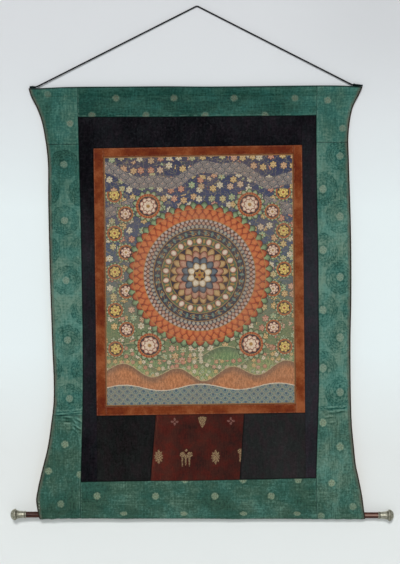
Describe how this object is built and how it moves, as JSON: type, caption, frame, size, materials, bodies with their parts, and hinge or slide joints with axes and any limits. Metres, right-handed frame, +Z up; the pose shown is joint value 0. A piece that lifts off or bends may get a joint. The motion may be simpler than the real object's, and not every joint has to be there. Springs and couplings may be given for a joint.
{
  "type": "thangka scroll painting with top stave and roller rod",
  "caption": "Painted cloth in a flared green and black silk mount, hung by a cord from a flat top stave, with a wooden roller rod and turned metal knobs in its lower sleeve.",
  "frame": {"origin": "the hang point: the middle of the cord where it bends at its highest place", "axes": "+X to the right of someone facing the painting, +Y from the painting into the wall, +Z up"},
  "size_m": [1.0356, 0.0314, 1.3923],
  "materials": {
    "painted_cloth": "matt distemper on cotton",
    "rust_silk": "worn satin",
    "black_damask": "matt damask",
    "maroon_brocade": "brocade with gold thread",
    "green_damask": "damask with woven roundels",
    "binding": "whipped edge",
    "plain_wood": "planed",
    "rod_wood": "waxed",
    "silver": "tarnished silver plate",
    "cord": "braided cord",
    "thread": "wound thread"
  },
  "bodies": {
    "root": {"painting": "painted_cloth", "border_left": "rust_silk", "border_right": "rust_silk", "border_top": "rust_silk", "border_bottom": "rust_silk", "black_left": "black_damask", "black_right": "black_damask", "black_top": "black_damask", "black_bottom_left": "black_damask", "black_bottom_right": "black_damask", "door": "maroon_brocade", "green_top": "green_damask", "green_bottom": "green_damask", "green_left": "green_damask", "green_right": "green_damask", "flare_top_left": "green_damask", "flare_top_right": "green_damask", "flare_bottom_left": "green_damask", "flare_bottom_right": "green_damask", "binding_left": "binding", "binding_right": "binding", "top_stave": "plain_wood", "roller_rod": "rod_wood", "knob_left": "silver", "knob_right": "silver", "hanging_cord": "cord", "cord_lashing_left": "thread", "cord_lashing_right": "thread"}
  },
  "joints": []
}
